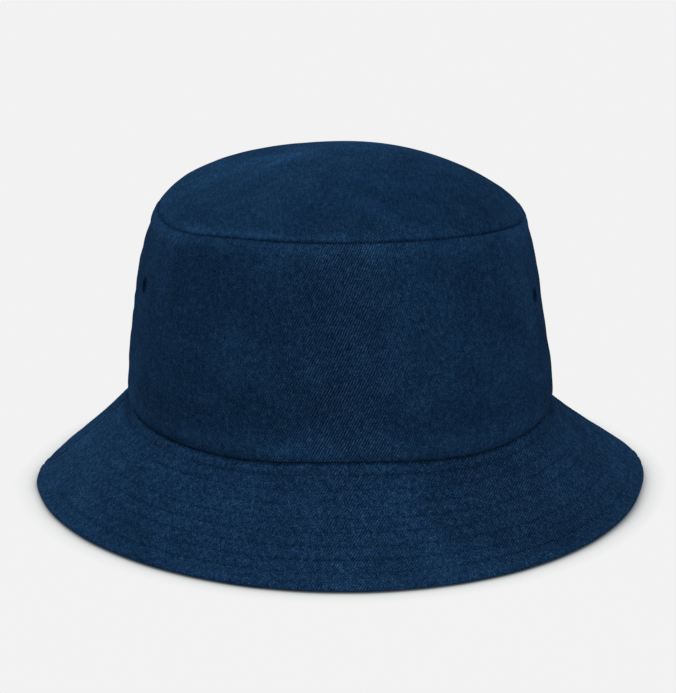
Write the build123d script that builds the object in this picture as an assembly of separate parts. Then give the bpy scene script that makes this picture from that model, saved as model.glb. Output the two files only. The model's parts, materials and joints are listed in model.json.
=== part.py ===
from build123d import *
import math
import os

import numpy as np

# Denim bucket hat, crown up, standing on the edge of its stitched brim.
# Millimetres, +Z up, front of the hat at -Y, wearer's sides at +X and -X.
# Origin: centre of the overall box in X and Y, on the plane the brim edge rests on.
# Every fabric panel is a closed solid of the real cloth thickness that follows one shared surface:
# brim (edge E up to crown seam S), side band (S up to tip seam T) and the domed oval tip inside T.

# ---------------------------------------------------------------- driving dimensions
DENIM = 0.85            # thickness of one layer of denim
INTERLINING = 0.60      # stiffener between the two brim layers
PLY_GAP = 0.05          # air between plies that are sewn together
TAPE = 0.45             # cotton bias tape over the inside seams
BAND = 0.60             # sweatband cloth
SEAM_GAP = 0.05         # butt gap between two panels at a seam

# rings: (semi-axis x, semi-axis y, centre x, centre y, squareness)
EDGE_RING = (127.5, 137.9, 0.0, 0.0, -0.0153)   # outer edge of the brim, lies on z = 0
SEAM_RING = (86.0, 102.9, -0.85, 2.10, 0.0137)     # crown / brim seam
LOW_RING = (86.6, 102.55, -0.67, 0.40, 0.0274)     # side band at 30 % of its height
HIGH_RING = (82.4, 98.0, -1.05, 1.30, 0.0265)      # side band at 68 % of its height
TIP_RING = (75.16, 87.64, 0.0, -0.40, 0.0)        # tip seam
LOW_AT, HIGH_AT = 0.30, 0.68

# heights of the seams: mean, cos, sin, cos 2, sin 2 terms
SEAM_Z = (36.69, -1.04, 2.16, -3.07, -0.39)
TIP_Z = (119.33, -0.94, 1.31, -3.97, -0.46)
BRIM_SAG = 1.30         # how far the brim hangs below a straight cone, half-way out
POUCH = (2.3, 0.4)      # side band bulging over the seam: mean and cos term
POUCH_AT = 0.065        # fraction of the height where it bulges most
DOME = 17.58            # rise of the tip's middle above its seam
DOME_X, DOME_XX, DOME_YY, DOME_XXX = 5.67, 0.79, -1.35, 0.58

# brim quilting: eight rows of stitching, parallel to the seam
ROWS = 8
FIRST_ROW = 4.3         # from the crown seam
ROW_PITCH = 5.6
THREAD_W, THREAD_H = 0.75, 0.33

# side seams of band and brim, both a little behind the widest place
SEAM_RIGHT, SEAM_LEFT = 3.0, 175.0

# eyelets: embroidered rings, two on each side
EYELET_HOLE_R = 1.5
EYELET_R = 3.8
# degrees from the side seam towards the front and the back, and fraction of the side band's height
EYELET_RIGHT, EYELET_LEFT = (25.0, 0.655), (19.5, 0.680)
EYELET_PROUD = 0.40

# sweatband and tapes, as fractions of the side band's height
BAND_LOW, BAND_HIGH = -0.030, 0.380
TIP_TAPE_LOW, TIP_TAPE_HIGH = 0.865, 0.972
SIDE_TAPE_LOW, SIDE_TAPE_HIGH = 0.035, 0.940
SIDE_TAPE_HALF = 6.0    # half width
WOVEN_LABEL = (34.0, 16.0, 0.35)
CARE_LABEL = (22.0, 34.0, 0.35)  # width, length, thickness

# ---------------------------------------------------------------- the shared surface


def ring(spec, th):
    ax, ay, cx, cy, k = spec
    c, s = np.cos(th), np.sin(th)
    return cx + ax * c * (1 + k * s * s), cy + ay * s * (1 + k * c * c)


def height(spec, th):
    m, c1, s1, c2, s2 = spec
    return m + c1 * np.cos(th) + s1 * np.sin(th) + c2 * np.cos(2 * th) + s2 * np.sin(2 * th)


def edge(th):
    x, y = ring(EDGE_RING, th)
    return np.stack([x, y, 0 * x], -1)


def seam(th):
    x, y = ring(SEAM_RING, th)
    return np.stack([x, y, height(SEAM_Z, th)], -1)


def tip_rim(th):
    x, y = ring(TIP_RING, th)
    return np.stack([x, y, height(TIP_Z, th)], -1)


def brim(th, s):
    """Top of the brim: s = 0 at the crown seam, 1 at the edge."""
    th, s = np.broadcast_arrays(th, s)
    a, b = seam(th), edge(th)
    p = a + (b - a) * s[..., None]
    p[..., 2] -= 4 * s * (1 - s) * BRIM_SAG
    return p


def wall(th, t, pouch=True):
    """Outside of the side band: t = 0 at the crown seam, 1 at the tip seam."""
    th, t = np.broadcast_arrays(th, t)
    S, T = seam(th), tip_rim(th)
    lo = np.stack([*ring(LOW_RING, th), S[..., 2] + (T[..., 2] - S[..., 2]) * LOW_AT], -1)
    hi = np.stack([*ring(HIGH_RING, th), S[..., 2] + (T[..., 2] - S[..., 2]) * HIGH_AT], -1)
    knots, pts, p = (0.0, LOW_AT, HIGH_AT, 1.0), (S, lo, hi, T), 0
    for i in range(4):
        w = 1.0
        for j in range(4):
            if j != i:
                w = w * (t - knots[j]) / (knots[i] - knots[j])
        p = p + w[..., None] * pts[i]
    if pouch:
        u = np.clip(t, 0, None) / POUCH_AT
        b = (POUCH[0] + POUCH[1] * np.cos(th)) * u * np.exp((1 - u * u) / 2)
        p = p + np.stack([b * np.cos(th), b * np.sin(th), 0 * b], -1)
    return p


def tip_height(x, y):
    ax, ay, cx, cy, _ = TIP_RING
    X, Y = (x - cx) / ax, (y - cy) / ay
    m, c1, s1, c2, s2 = TIP_Z
    return (m + c1 * X + s1 * Y + c2 * (X * X - Y * Y) + 2 * s2 * X * Y
            + (1 - X * X - Y * Y) * (DOME + DOME_X * X + DOME_XX * X * X + DOME_YY * Y * Y + DOME_XXX * X ** 3))


def offset(fn, u, v, d, flip=1.0):
    """Points of fn(u, v) moved by d along its normal; flip makes the normal point out of the hat."""
    e = 1e-4
    pu = (fn(u + e, v) - fn(u - e, v)) / (2 * e)
    pv = (fn(u, v + e) - fn(u, v - e)) / (2 * e)
    n = np.cross(pu, pv) * flip
    n /= np.linalg.norm(n, axis=-1, keepdims=True)
    return fn(u, v) + n * np.asarray(d)[..., None]


def wall_at(th, t, d, pouch=True):
    return offset(lambda a, b: wall(a, b, pouch), th, t, d)


def brim_at(th, s, d):
    return offset(brim, th, s, d, -1.0)


# ---------------------------------------------------------------- solids from grids


def patch(outer, inner):
    """A closed solid between two point grids of the same size."""
    faces = [Face.make_surface_from_array_of_points([[Vector(*map(float, p)) for p in row] for row in g], tol=0.004, min_deg=3, max_deg=5)
             for g in (outer, inner)]
    sides = []
    for a, b in zip(faces[0].edges(), faces[1].edges()):
        sides.append(Face.make_surface_from_curves(a, b))
    solid = Solid(Shell(faces + sides))
    if solid.volume < 0:
        solid = Solid(Shell([-f for f in faces + sides]))
    return solid


def grid(fn, u, v):
    U, V = np.meshgrid(u, v, indexing="ij")
    return fn(U, V)


def span(a, b, n):
    return np.linspace(math.radians(a), math.radians(b), n)


def wall_patch(th, rows, d_out, d_in, pouch=True):
    """rows(th, d) gives the grid's t values for an offset d."""
    def g(d):
        U, V = rows(th, d)
        return wall_at(U, V, d + 0 * U, pouch)
    return patch(g(d_out), g(d_in))


def brim_patch(th, rows, d_out, d_in):
    def g(d):
        U, V = rows(th, d)
        return brim_at(U, V, d + 0 * U)
    return patch(g(d_out), g(d_in))


def between(th, lo, hi, shape):
    """A grid from lo(th) to hi(th), with the rows spaced as in shape (0 to 1)."""
    U = np.repeat(th[:, None], len(shape), 1)
    lo, hi = np.broadcast_to(lo, th.shape), np.broadcast_to(hi, th.shape)
    return U, lo[:, None] + (hi - lo)[:, None] * shape[None, :]


def solve(fn, lo, hi, steps=40):
    """Where fn changes from negative to positive, for every element."""
    lo, hi = lo.copy(), hi.copy()
    for _ in range(steps):
        mid = (lo + hi) / 2
        up = fn(mid) > 0
        hi = np.where(up, mid, hi)
        lo = np.where(up, lo, mid)
    return (lo + hi) / 2


def wall_top(th, d, under):
    """t at which the band's surface, offset by d, meets a level `under` below the tip's top face."""
    def above(t):
        p = wall_at(th, t, d + 0 * t)
        return p[..., 2] - (tip_height(p[..., 0], p[..., 1]) - under)
    return solve(above, 0.9 + 0 * th, 1.05 + 0 * th)


def brim_inner(th, d, inward):
    """s at which the brim's ply at depth d is `inward` inside the seam ring."""
    S = seam(th)
    e = 1e-4
    tan = seam(th + e) - seam(th - e)
    n = np.stack([tan[..., 1], -tan[..., 0]], -1)
    n /= np.linalg.norm(n, axis=-1, keepdims=True)

    def out(s):
        p = brim_at(th, s, d + 0 * s)
        return ((p[..., :2] - S[..., :2]) * n).sum(-1) + inward
    return solve(out, -0.15 + 0 * th, 0.15 + 0 * th)


# ---------------------------------------------------------------- pieces

NODES = {}
slack = math.degrees(SEAM_GAP / 2 / 95)  # half of a butt gap, as an angle
FRONT = (SEAM_LEFT - 360 + slack, SEAM_RIGHT - slack)
BACK = (SEAM_RIGHT + slack, SEAM_LEFT - slack)
# denser rows near the crown seam, where the band bulges
BAND_ROWS = np.concatenate([np.linspace(0, 0.2, 11)[:-1], np.linspace(0.2, 1, 13)])
COLS = 45

# side band, front and back halves, mitred onto the brim below and under the tip above
TIP_UNDER = DENIM / math.cos(math.radians(30)) + 0.10


def band_rows(th, d):
    return between(th, 0.0046 + 0 * th, wall_top(th, d, TIP_UNDER), BAND_ROWS)


eyelets = {}
for name, (a, b) in (("front", FRONT), ("back", BACK)):
    NODES["crown_side_" + name] = wall_patch(span(a, b, COLS), band_rows, 0.0, -DENIM)

for side, base in (("right", SEAM_RIGHT), ("left", SEAM_LEFT)):
    for end, sign in (("front", -1), ("rear", 1)):
        angle, at = EYELET_RIGHT if side == "right" else EYELET_LEFT
        deg = base + sign * angle if side == "right" else base - sign * angle
        th = math.radians(deg)
        p = wall_at(np.array(th), np.array(at), np.array(0.0))
        q = wall_at(np.array(th), np.array(at), np.array(1.0))
        frame = Plane(origin=Vector(*map(float, p)), z_dir=Vector(*map(float, q - p)))
        hole_r = EYELET_HOLE_R + 0.75
        panel = "crown_side_front" if end == "front" else "crown_side_back"
        NODES[panel] = NODES[panel] - (frame * Pos(0, 0, -DENIM / 2) * Cylinder(hole_r + 0.08, 6))
        lift = 0.13  # the flat ring clears the curved cloth under its rim
        body = frame * Pos(0, 0, -DENIM / 2) * Cylinder(hole_r, DENIM + 2 * lift + 0.02)
        for z in (lift + EYELET_PROUD / 2, -DENIM - lift - EYELET_PROUD / 2):
            body = body + frame * Pos(0, 0, z) * Cylinder(EYELET_R, EYELET_PROUD)
        body = body - frame * Pos(0, 0, -DENIM / 2) * Cylinder(EYELET_HOLE_R, 8)
        eyelets["eyelet_%s_%s" % (side, end)] = body
NODES.update(eyelets)

# domed oval tip: a cloth sheet cut to the oval of its seam
ax, ay, cx, cy, _ = TIP_RING
gx, gy = np.linspace(cx - ax - 1, cx + ax + 1, 25), np.linspace(cy - ay - 1, cy + ay + 1, 27)


def tip_fn(X, Y):
    return np.stack([X, Y, tip_height(X, Y)], -1)


GX, GY = np.meshgrid(gx, gy, indexing="ij")
top = tip_fn(GX, GY)
e = 1e-3
nx = (tip_height(GX + e, GY) - tip_height(GX - e, GY)) / (2 * e)
ny = (tip_height(GX, GY + e) - tip_height(GX, GY - e)) / (2 * e)
low = top.copy()
low[..., 2] -= DENIM * np.sqrt(1 + nx ** 2 + ny ** 2)
sheet = patch(top, low)
oval = extrude(Plane.XY.offset(60) * Pos(cx, cy, 0) * Ellipse(ax, ay), 140)
NODES["crown_tip"] = sheet & oval

# brim plies: denim, interlining, denim, each cut at the plane that the edge rests on
FLOOR = Pos(0, 0, -50) * Box(600, 600, 100)
BRIM_ROWS = np.linspace(0, 1, 9)
INSET = DENIM + 0.02
plies = (
    ("brim_upper_", 0.0, -DENIM),
    ("brim_interlining_", -DENIM - PLY_GAP, -DENIM - PLY_GAP - INTERLINING),
    ("brim_under_", -DENIM - 2 * PLY_GAP - INTERLINING, -2 * DENIM - 2 * PLY_GAP - INTERLINING),
)
BRIM_THICK = 2 * DENIM + 2 * PLY_GAP + INTERLINING


def brim_rows(th, d):
    return between(th, brim_inner(th, d, INSET), 1.06 + 0 * th, BRIM_ROWS)


for ply, d_out, d_in in plies:
    for name, (a, b) in (("front", FRONT), ("back", BACK)):
        NODES[ply + name] = brim_patch(span(a, b, COLS), brim_rows, d_out, d_in) - FLOOR

# stitching: needle thread on top and bobbin thread underneath, each row one run of thread
ALMOST = (-90 + 360 * 0 + 180.08, -90 + 360 + 180 - 0.08)  # round from the back seam to the back seam
WIDTH = 52.0  # mean width of the brim along its slope


def row_strip(at, d_lo, d_hi, half):
    th = span(ALMOST[0], ALMOST[1], 73)
    rows = lambda t, d: between(t, (at - half) / WIDTH + 0 * t, (at + half) / WIDTH + 0 * t, np.linspace(0, 1, 4))
    return brim_patch(th, rows, d_hi, d_lo)


for i in range(ROWS):
    at = FIRST_ROW + i * ROW_PITCH
    up = row_strip(at, 0.03, 0.03 + THREAD_H, THREAD_W / 2)
    dn = row_strip(at, -BRIM_THICK - 0.03 - THREAD_H, -BRIM_THICK - 0.03, THREAD_W / 2)
    NODES["brim_stitch_row_%d" % (i + 1)] = Compound(children=[up, dn])

# inside: bias tapes over the seams, then the sweatband
d0 = -DENIM - 2 * PLY_GAP


def level(lo, hi, n):
    return lambda th, d: between(th, lo + 0 * th, hi + 0 * th, np.linspace(0, 1, n))


for side, base in (("right", SEAM_RIGHT), ("left", SEAM_LEFT)):
    half = math.degrees(SIDE_TAPE_HALF / 101.0)
    NODES["side_seam_tape_" + side] = wall_patch(span(base - half, base + half, 7), level(SIDE_TAPE_LOW, SIDE_TAPE_HIGH, 25), d0, d0 - TAPE)
d1 = d0 - TAPE - 0.15
NODES["tip_seam_tape"] = wall_patch(span(ALMOST[0], ALMOST[1], 73), level(TIP_TAPE_LOW, TIP_TAPE_HIGH, 6), d1, d1 - TAPE)
NODES["sweatband"] = wall_patch(span(ALMOST[0], ALMOST[1], 73), level(BAND_LOW, BAND_HIGH, 9), d1, d1 - BAND, pouch=False)
d2 = d1 - BAND
height_mm = TIP_Z[0] - SEAM_Z[0]
stitch_lo = 0.004
NODES["sweatband_stitching"] = wall_patch(span(ALMOST[0], ALMOST[1], 73), level(stitch_lo, stitch_lo + THREAD_W / height_mm, 4),
                                          d2 - 0.03, d2 - 0.03 - THREAD_H, pouch=False)

# blank woven label sewn to the sweatband at the back, right of the centre
lw, lh, lt = WOVEN_LABEL
mid, half = 90.0 - 17.0, math.degrees(lw / 2 / 74.0)
t_mid = 0.20
NODES["woven_label"] = wall_patch(span(mid - half, mid + half, 9), level(t_mid - lh / 2 / height_mm, t_mid + lh / 2 / height_mm, 5),
                                  d2 - 0.05, d2 - 0.05 - lt, pouch=False)

# care label: a loose flap, sewn along its upper edge to the sweatband's top at the back, left of the centre
cw, cl, ct = CARE_LABEL
LABEL_DEG = 90.0 + 13.0
th = np.array(math.radians(LABEL_DEG))
p = wall_at(th, np.array(BAND_HIGH - 0.010), np.array(d2), pouch=False)
q = wall_at(th + 0.002, np.array(BAND_HIGH - 0.010), np.array(d2), pouch=False) - p
along = q / np.linalg.norm(q)
along[2] = 0
along /= np.linalg.norm(along)
inward = np.array([-along[1], along[0], 0.0])
if inward @ p > 0:
    inward = -inward
sag = (cw / 2) ** 2 / 2 / 66.0  # how far the round band comes in at the flap's corners
LABEL_PIVOT = p + inward * (sag + 0.45 + ct / 2)
flap = Plane(origin=Vector(*map(float, LABEL_PIVOT)), x_dir=Vector(*map(float, along)), z_dir=Vector(*map(float, inward)))
NODES["care_label"] = flap * Pos(0, (-1 if flap.y_dir.Z > 0 else 1) * cl / 2, 0) * Box(cw, cl, ct)

# ---------------------------------------------------------------- write

os.makedirs("parts", exist_ok=True)
for name, shape in NODES.items():
    export_step(shape, "parts/%s.step" % name)
    box = shape.bounding_box()
    print("%-22s solids %d  volume %9.1f  valid %s  z %.2f..%.2f" % (
        name, len(shape.solids()), sum(s.volume for s in shape.solids()), shape.is_valid, box.min.Z, box.max.Z))
print("label pivot", np.round(LABEL_PIVOT, 3), "axis", np.round(along, 4), "inward", np.round(inward, 4))
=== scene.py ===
import bpy, json, math
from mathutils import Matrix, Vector
import numpy as np


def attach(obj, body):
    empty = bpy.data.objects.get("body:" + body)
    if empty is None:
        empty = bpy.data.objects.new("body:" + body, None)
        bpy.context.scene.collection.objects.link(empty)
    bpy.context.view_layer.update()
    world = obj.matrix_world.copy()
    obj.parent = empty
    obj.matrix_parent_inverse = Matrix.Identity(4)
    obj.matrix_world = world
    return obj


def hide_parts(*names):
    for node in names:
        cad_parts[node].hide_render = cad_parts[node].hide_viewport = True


# Dark denim bucket hat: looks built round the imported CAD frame. Lengths below are in millimetres and are
# written to the meshes in metres.
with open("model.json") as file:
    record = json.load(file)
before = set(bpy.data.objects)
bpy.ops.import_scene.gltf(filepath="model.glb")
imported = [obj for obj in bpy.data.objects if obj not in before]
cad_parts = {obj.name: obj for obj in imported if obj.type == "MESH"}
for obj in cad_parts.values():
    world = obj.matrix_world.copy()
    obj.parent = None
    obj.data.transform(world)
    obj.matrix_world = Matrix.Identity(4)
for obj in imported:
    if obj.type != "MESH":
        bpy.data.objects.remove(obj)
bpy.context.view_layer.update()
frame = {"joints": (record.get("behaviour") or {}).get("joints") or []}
TAU = 2 * math.pi

# ------------------------------------------------------------------ the cloth surfaces (same rings as the CAD)
DENIM, INTER, PLY, TAPE, BAND = 0.85, 0.60, 0.05, 0.45, 0.60
EDGE_RING = (127.5, 137.9, 0.0, 0.0, -0.0153)
SEAM_RING = (86.0, 102.9, -0.85, 2.10, 0.0137)
LOW_RING = (86.6, 102.55, -0.67, 0.40, 0.0274)
HIGH_RING = (82.4, 98.0, -1.05, 1.30, 0.0265)
TIP_RING = (75.16, 87.64, 0.0, -0.40, 0.0)
LOW_AT, HIGH_AT = 0.30, 0.68
SEAM_Z = (36.69, -1.04, 2.16, -3.07, -0.39)
TIP_Z = (119.33, -0.94, 1.31, -3.97, -0.46)
SAG = 1.30
EDGE_LIFT = 2.00
# the edge isn't a true oval: millimetres outwards at angles in degrees
EDGE_TRIM = [(-170, 0.2), (-150, 0.1), (-120, 0.4), (-90, 0.75), (-62, 0.4), (-30, -0.9), (-15, -1.1), (-10, -0.5), (-5, 0.5), (0, 0.8), (6, 1.1),
             (10, 0.9), (15, -0.4), (19, -0.7), (30, -0.3), (60, -0.5), (90, -0.5), (120, -0.8), (150, -1.6), (158, -2.6), (165, -3.1), (172, -1.6), (177, 0.1), (183, 1.0)]
# nor is the band: millimetres outwards at heights from 0 to 1, at the left and the right
LEFT_TRIM = [(0.0, 0.0), (0.05, -0.4), (0.083, -0.7), (0.13, 0.2), (0.23, 0.3), (0.29, -0.3), (0.35, -0.7), (0.47, -0.85), (0.60, -0.65), (0.72, -0.35), (0.82, -0.2), (0.92, 0.1), (1.0, 0.0)]
RIGHT_TRIM = [(0.0, 0.0), (0.05, -1.1), (0.075, -0.9), (0.105, 0.3), (0.15, 1.3), (0.20, 1.4), (0.27, 0.65), (0.325, 0.0), (0.385, -0.4), (0.45, -0.8), (0.56, -0.75), (0.63, -0.3), (0.72, 0.0), (1.0, 0.0)]
# millimetres up, at angles in degrees, of the seam over the brim and of the seam round the tip
SEAM_TRIM = [(-170, 0.0), (-155, 0.7), (-148, 0.9), (-140, 0.5), (-132, 0.1), (-122, -0.2), (-112, -0.1), (-104, 0.3), (-98, 0.9), (-84, 0.9), (-76, 0.4), (-68, -0.2),
             (-60, -0.5), (-50, -0.5), (-43, 0.0), (-35, 0.8), (-27, 1.1), (-12, 0.0), (90, 0.0)]
RIM_TRIM = [(-180, 0.0), (-160, 0.0), (-150, 0.1), (-143, 0.4), (-135, 1.3), (-120, 1.4), (-112, 1.0), (-100, 0.65), (-84, 0.5), (-76, 0.8), (-65, 1.0), (-50, 1.2),
            (-35, 1.2), (-20, 0.4), (-8, 0.0), (90, 0.0), (115, 0.1), (130, 0.4), (148, 0.8), (162, 0.2), (172, 0.0)]
POUCH, POUCH_AT = (2.3, 0.4), 0.065
DOME, DOME_X, DOME_XX, DOME_YY, DOME_XXX = 17.58, 5.67, 0.79, -1.35, 0.58
THICK = 2 * DENIM + 2 * PLY + INTER
WIDTH, ROWS, FIRST, PITCH = 52.0, 8, 4.3, 5.6
BAND_H = 82.6
SEAM_R, SEAM_L = math.radians(3.0), math.radians(175.0)


def ring(spec, th):
    ax, ay, cx, cy, k = spec
    c, s = np.cos(th), np.sin(th)
    return cx + ax * c * (1 + k * s * s), cy + ay * s * (1 + k * c * c)


def height(spec, th):
    m, c1, s1, c2, s2 = spec
    return m + c1 * np.cos(th) + s1 * np.sin(th) + c2 * np.cos(2 * th) + s2 * np.sin(2 * th)


def wrap(a):
    return (a + math.pi) % TAU - math.pi


def gauss(x, w):
    return np.exp(-(x / w) ** 2)


def smooth(x, lo, hi):
    u = np.clip((x - lo) / (hi - lo), 0, 1)
    return u * u * (3 - 2 * u)


def vnoise(u, v, nu, nv, seed):
    """Smooth random values from -1 to 1: u from 0 to 1 repeats and has nu cells, v from 0 to 1 has nv cells."""
    g = np.random.default_rng(seed).uniform(-1, 1, (nu, nv + 4))
    x, y = (np.asarray(u) % 1.0) * nu, np.clip(np.asarray(v), -0.02, 1.02) * nv + 1
    i, j = np.floor(x).astype(int), np.floor(y).astype(int)
    fx, fy = x - i, y - j

    def w(f):
        return (((1 - f) ** 3) / 6, (3 * f ** 3 - 6 * f ** 2 + 4) / 6, (-3 * f ** 3 + 3 * f ** 2 + 3 * f + 1) / 6, f ** 3 / 6)
    a, b, out = w(fx), w(fy), 0
    for p in range(4):
        for q in range(4):
            out = out + a[p] * b[q] * g[(i + p - 1) % nu, np.clip(j + q - 1, 0, nv + 3)]
    return out * 1.9


def fract_noise(th, v, nu, nv, seed, octaves=3):
    out, amp = 0, 1.0
    for k in range(octaves):
        out = out + amp * vnoise(th / TAU, v, nu * 2 ** k, nv * 2 ** k, seed + k)
        amp *= 0.5
    return out


def eased(pts, x, soft, period=None):
    """A softened line through points, at x; soft is the width of the softening."""
    a = np.array(pts, float)
    lo, hi = (-period, 2 * period) if period else (a[0, 0] - 4 * soft, a[-1, 0] + 4 * soft)
    g = np.linspace(lo, hi, 2401)
    v = np.interp(g, a[:, 0], a[:, 1], period=period) if period else np.interp(g, a[:, 0], a[:, 1])
    n = int(3 * soft / (g[1] - g[0]))
    k = np.exp(-0.5 * (np.arange(-n, n + 1) * (g[1] - g[0]) / soft) ** 2)
    v = np.convolve(np.pad(v, n, mode="edge"), k / k.sum(), "valid")
    return np.interp(x % period if period else x, g, v)


def soft_floor(z, level, w=0.35):
    return level + w * np.logaddexp(0, (z - level) / w)


def edge_wave(th):
    return 0.60 + 1.06 * np.cos(th) - 0.04 * np.sin(th) + 0.57 * np.cos(2 * th) + 0.13 * np.cos(3 * th + math.pi / 2) + 0.48 * np.sin(2 * th)


def edge(th):
    x, y = ring(EDGE_RING, th)
    return np.stack([x, y, soft_floor(edge_wave(th), 0.0)], -1)


def seam(th):
    x, y = ring(SEAM_RING, th)
    return np.stack([x, y, height(SEAM_Z, th) + eased(SEAM_TRIM, np.degrees(th), 3.0, 360.0)], -1)


def tip_rim(th):
    x, y = ring(TIP_RING, th)
    return np.stack([x, y, height(TIP_Z, th)], -1)


def brim(th, s):
    th, s = np.broadcast_arrays(th, s)
    a, b = seam(th), edge(th)
    p = a + (b - a) * s[..., None]
    p[..., 2] -= 4 * s * (1 - s) * SAG
    w = smooth(s, 0.78, 1.12) / 0.714
    out = np.stack([b[..., 0] / EDGE_RING[0] ** 2, b[..., 1] / EDGE_RING[1] ** 2], -1)
    out /= np.linalg.norm(out, axis=-1, keepdims=True)
    p[..., :2] += out * (eased(EDGE_TRIM, np.degrees(th), 2.5, 360.0) * w)[..., None]
    wave = edge_wave(th)
    p[..., 2] += (soft_floor(wave, EDGE_LIFT) - soft_floor(wave, 0.0)) * w
    return p


def wall(th, t, pouch=True):
    th, t = np.broadcast_arrays(th, t)
    S, T = seam(th), tip_rim(th)
    lo = np.stack([*ring(LOW_RING, th), S[..., 2] + (T[..., 2] - S[..., 2]) * LOW_AT], -1)
    hi = np.stack([*ring(HIGH_RING, th), S[..., 2] + (T[..., 2] - S[..., 2]) * HIGH_AT], -1)
    knots, pts, p = (0.0, LOW_AT, HIGH_AT, 1.0), (S, lo, hi, T), 0
    for i in range(4):
        w = 1.0
        for j in range(4):
            if j != i:
                w = w * (t - knots[j]) / (knots[i] - knots[j])
        p = p + w[..., None] * pts[i]
    p[..., 2] += rim_lift(th) * smooth(t, 0.6, 1.0)
    if pouch:
        u = np.clip(t, 0, None) / POUCH_AT
        b = (POUCH[0] + POUCH[1] * np.cos(th)) * (0.58 + 0.42 * np.cos(th) ** 2) * u * np.exp((1 - u * u) / 2)
        b = b + gauss(wrap(th - math.pi), 0.7) * eased(LEFT_TRIM, t, 0.02) + gauss(wrap(th + 0.09), 0.7) * eased(RIGHT_TRIM, t, 0.02)
        p = p + np.stack([b * np.cos(th), b * np.sin(th), 0 * b], -1)
    return p


def rim_lift(th):
    return eased(RIM_TRIM, np.degrees(th), 4.0, 360.0)


def tip_height(x, y):
    ax, ay, cx, cy, _ = TIP_RING
    X, Y = (x - cx) / ax, (y - cy) / ay
    m, c1, s1, c2, s2 = TIP_Z
    return (m + c1 * X + s1 * Y + c2 * (X * X - Y * Y) + 2 * s2 * X * Y
            + (1 - X * X - Y * Y) * (DOME + DOME_X * X + DOME_XX * X * X + DOME_YY * Y * Y + DOME_XXX * X ** 3)
            + rim_lift(np.arctan2(Y, X)) * smooth(np.hypot(X, Y), 0.5, 1.0))


def tip(th, r):
    ax, ay, cx, cy, _ = TIP_RING
    th, r = np.broadcast_arrays(th, r)
    x, y = cx + ax * r * np.cos(th), cy + ay * r * np.sin(th)
    return np.stack([x, y, tip_height(x, y)], -1)


def normals(fn, u, v, flip):
    e = 1e-4
    n = np.cross(fn(u + e, v) - fn(u - e, v), fn(u, v + e) - fn(u, v - e)) * flip
    return n / np.maximum(np.linalg.norm(n, axis=-1, keepdims=True), 1e-12)


def along_ring(fn, at):
    """Arc length from theta = -90 degrees, as a function of theta, for the ring fn(theta, at)."""
    th = np.linspace(-2.5 * math.pi, 2.5 * math.pi, 6001)
    p = fn(th, at + 0 * th)
    d = np.concatenate([[0], np.cumsum(np.linalg.norm(np.diff(p, axis=0), axis=1))])
    d -= np.interp(-math.pi / 2, th, d)
    return lambda x: np.interp(x, th, d), lambda a: np.interp(a, d, th)


# ------------------------------------------------------------------ meshes


def make(name, verts, faces, mat, uv=None, attrs=None, mats=None, face_mat=None):
    """verts in millimetres, quads or triangles; uv in millimetres; attrs are floats per vertex."""
    verts = np.asarray(verts, np.float32) / 1000.0
    me = bpy.data.meshes.new(name)
    k = faces.shape[1]
    me.vertices.add(len(verts))
    me.vertices.foreach_set("co", verts.ravel())
    me.loops.add(faces.size)
    me.loops.foreach_set("vertex_index", faces.astype(np.int32).ravel())
    me.polygons.add(len(faces))
    me.polygons.foreach_set("loop_start", np.arange(0, faces.size, k, dtype=np.int32))
    me.polygons.foreach_set("use_smooth", np.ones(len(faces), bool))
    if face_mat is not None:
        me.polygons.foreach_set("material_index", face_mat.astype(np.int32))
    me.update(calc_edges=True)
    if uv is not None:
        layer = me.uv_layers.new(name="cloth")
        layer.data.foreach_set("uv", (uv[faces.ravel()] / 100.0).astype(np.float32).ravel())
    for key, val in (attrs or {}).items():
        a = me.attributes.new(key, "FLOAT", "POINT")
        a.data.foreach_set("value", np.asarray(val, np.float32).ravel())
    me.validate()
    for m in (mats or [mat]):
        me.materials.append(m)
    o = bpy.data.objects.new(name, me)
    bpy.context.scene.collection.objects.link(o)
    return o


def sheet_mesh(out, inn, keep=None, closed=False):
    """Quads of a closed skin between two point grids; closed joins the last column to the first.
    Returns verts, faces and, for each face, 0 outside, 1 inside and 2 on the rim."""
    nu, nv = out.shape[:2]
    cu = nu if closed else nu - 1
    keep = np.ones((cu, nv - 1), bool) if keep is None else keep
    idx = np.arange(nu * nv).reshape(nu, nv)
    nxt = np.roll(idx, -1, 0)[:cu] if closed else idx[1:]
    a, b, c, d = idx[:cu, :-1], nxt[:, :-1], nxt[:, 1:], idx[:cu, 1:]
    q = np.stack([a, b, c, d], -1)[keep]
    n = nu * nv
    faces, kind = [q, q[:, ::-1] + n], [np.zeros(len(q)), np.ones(len(q))]
    pad = np.zeros((cu + 2, nv + 1), bool)
    pad[1:-1, 1:-1] = keep
    if closed:
        pad[0, 1:-1], pad[-1, 1:-1] = keep[-1], keep[0]
    core = pad[1:-1, 1:-1]
    for nb, p0, p1 in ((pad[:-2, 1:-1], d, a), (pad[2:, 1:-1], b, c), (pad[1:-1, :-2], a, b), (pad[1:-1, 2:], c, d)):
        m = core & ~nb
        if m.any():
            s, e = p0[m], p1[m]
            faces.append(np.stack([e, s, s + n, e + n], -1))
            kind.append(np.full(m.sum(), 2))
    return np.concatenate([out.reshape(-1, 3), inn.reshape(-1, 3)]), np.concatenate(faces), np.concatenate(kind)


def edge_profile(d, r):
    """How much of the half thickness is left at distance d from a rounded edge of radius r."""
    u = np.clip(d / r, 0, 1)
    return np.sqrt(np.clip(1 - (1 - u) ** 2, 0, 1))


# ------------------------------------------------------------------ materials


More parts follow.
